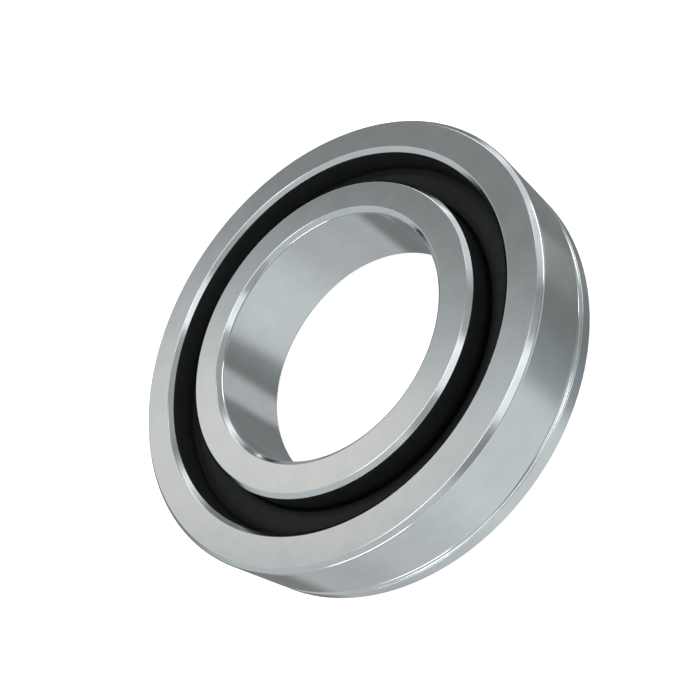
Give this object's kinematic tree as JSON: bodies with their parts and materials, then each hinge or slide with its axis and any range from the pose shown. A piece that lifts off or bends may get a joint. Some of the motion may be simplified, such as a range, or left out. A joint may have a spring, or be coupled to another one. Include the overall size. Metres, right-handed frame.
{
  "type": "ball bearing",
  "caption": "Sealed deep-groove ball bearing: two polished steel rings with a recessed black rubber seal channel, caged balls between them and a shallow groove round the outside.",
  "frame": {"origin": "centre of the bearing's rear face, on its axis", "axes": "+Z along the bearing axis, from the rear face to the front face with the deep seal channel; +X through the first ball"},
  "size_m": [0.058, 0.058, 0.012],
  "materials": {
    "ring_steel": "fine-ground and tumbled, satin bright",
    "seal_rubber": "matt moulded black rubber",
    "insert_steel": "cold-rolled sheet",
    "cage_steel": "pressed sheet, deburred",
    "ball_steel": "lapped mirror finish"
  },
  "bodies": {
    "outer_ring": {"outer_ring": "ring_steel", "front_seal_rubber": "seal_rubber", "front_seal_insert": "insert_steel", "rear_seal_rubber": "seal_rubber", "rear_seal_insert": "insert_steel"},
    "inner_ring": {"inner_ring": "ring_steel", "front_flinger_band": "seal_rubber"},
    "cage": {"cage_front_half": "cage_steel", "cage_rear_half": "cage_steel", "cage_rivets": "cage_steel"},
    "ball_01": {"ball_01": "ball_steel"},
    "ball_02": {"ball_02": "ball_steel"},
    "ball_03": {"ball_03": "ball_steel"},
    "ball_04": {"ball_04": "ball_steel"},
    "ball_05": {"ball_05": "ball_steel"},
    "ball_06": {"ball_06": "ball_steel"},
    "ball_07": {"ball_07": "ball_steel"},
    "ball_08": {"ball_08": "ball_steel"},
    "ball_09": {"ball_09": "ball_steel"},
    "ball_10": {"ball_10": "ball_steel"},
    "ball_11": {"ball_11": "ball_steel"},
    "ball_12": {"ball_12": "ball_steel"},
    "ball_13": {"ball_13": "ball_steel"},
    "ball_14": {"ball_14": "ball_steel"}
  },
  "joints": [
    {"name": "inner_ring_spin", "type": "hinge", "parent": "outer_ring", "child": "inner_ring", "pos_m": [0, 0, 0.006], "axis": [0, 0, 1], "continuous": true},
    {"name": "cage_orbit", "type": "hinge", "parent": "outer_ring", "child": "cage", "pos_m": [0, 0, 0.00425], "axis": [0, 0, 1], "continuous": true},
    {"name": "ball_01_spin", "type": "hinge", "parent": "cage", "child": "ball_01", "pos_m": [0.0224, 0, 0.00425], "axis": [0, 0, 1], "continuous": true},
    {"name": "ball_02_spin", "type": "hinge", "parent": "cage", "child": "ball_02", "pos_m": [0.02018, 0.00972, 0.00425], "axis": [0, 0, 1], "continuous": true},
    {"name": "ball_03_spin", "type": "hinge", "parent": "cage", "child": "ball_03", "pos_m": [0.01397, 0.01751, 0.00425], "axis": [0, 0, 1], "continuous": true},
    {"name": "ball_04_spin", "type": "hinge", "parent": "cage", "child": "ball_04", "pos_m": [0.00498, 0.02184, 0.00425], "axis": [0, 0, 1], "continuous": true},
    {"name": "ball_05_spin", "type": "hinge", "parent": "cage", "child": "ball_05", "pos_m": [-0.00498, 0.02184, 0.00425], "axis": [0, 0, 1], "continuous": true},
    {"name": "ball_06_spin", "type": "hinge", "parent": "cage", "child": "ball_06", "pos_m": [-0.01397, 0.01751, 0.00425], "axis": [0, 0, 1], "continuous": true},
    {"name": "ball_07_spin", "type": "hinge", "parent": "cage", "child": "ball_07", "pos_m": [-0.02018, 0.00972, 0.00425], "axis": [0, 0, 1], "continuous": true},
    {"name": "ball_08_spin", "type": "hinge", "parent": "cage", "child": "ball_08", "pos_m": [-0.0224, 0, 0.00425], "axis": [0, 0, 1], "continuous": true},
    {"name": "ball_09_spin", "type": "hinge", "parent": "cage", "child": "ball_09", "pos_m": [-0.02018, -0.00972, 0.00425], "axis": [0, 0, 1], "continuous": true},
    {"name": "ball_10_spin", "type": "hinge", "parent": "cage", "child": "ball_10", "pos_m": [-0.01397, -0.01751, 0.00425], "axis": [0, 0, 1], "continuous": true},
    {"name": "ball_11_spin", "type": "hinge", "parent": "cage", "child": "ball_11", "pos_m": [-0.00498, -0.02184, 0.00425], "axis": [0, 0, 1], "continuous": true},
    {"name": "ball_12_spin", "type": "hinge", "parent": "cage", "child": "ball_12", "pos_m": [0.00498, -0.02184, 0.00425], "axis": [0, 0, 1], "continuous": true},
    {"name": "ball_13_spin", "type": "hinge", "parent": "cage", "child": "ball_13", "pos_m": [0.01397, -0.01751, 0.00425], "axis": [0, 0, 1], "continuous": true},
    {"name": "ball_14_spin", "type": "hinge", "parent": "cage", "child": "ball_14", "pos_m": [0.02018, -0.00972, 0.00425], "axis": [0, 0, 1], "continuous": true}
  ],
  "couplings": [
    {"joint": "cage_orbit", "follows": "inner_ring_spin", "ratio": 0.4442},
    {"joint": "ball_01_spin", "follows": "inner_ring_spin", "ratio": -4.4242},
    {"joint": "ball_02_spin", "follows": "inner_ring_spin", "ratio": -4.4242},
    {"joint": "ball_03_spin", "follows": "inner_ring_spin", "ratio": -4.4242},
    {"joint": "ball_04_spin", "follows": "inner_ring_spin", "ratio": -4.4242},
    {"joint": "ball_05_spin", "follows": "inner_ring_spin", "ratio": -4.4242},
    {"joint": "ball_06_spin", "follows": "inner_ring_spin", "ratio": -4.4242},
    {"joint": "ball_07_spin", "follows": "inner_ring_spin", "ratio": -4.4242},
    {"joint": "ball_08_spin", "follows": "inner_ring_spin", "ratio": -4.4242},
    {"joint": "ball_09_spin", "follows": "inner_ring_spin", "ratio": -4.4242},
    {"joint": "ball_10_spin", "follows": "inner_ring_spin", "ratio": -4.4242},
    {"joint": "ball_11_spin", "follows": "inner_ring_spin", "ratio": -4.4242},
    {"joint": "ball_12_spin", "follows": "inner_ring_spin", "ratio": -4.4242},
    {"joint": "ball_13_spin", "follows": "inner_ring_spin", "ratio": -4.4242},
    {"joint": "ball_14_spin", "follows": "inner_ring_spin", "ratio": -4.4242}
  ]
}
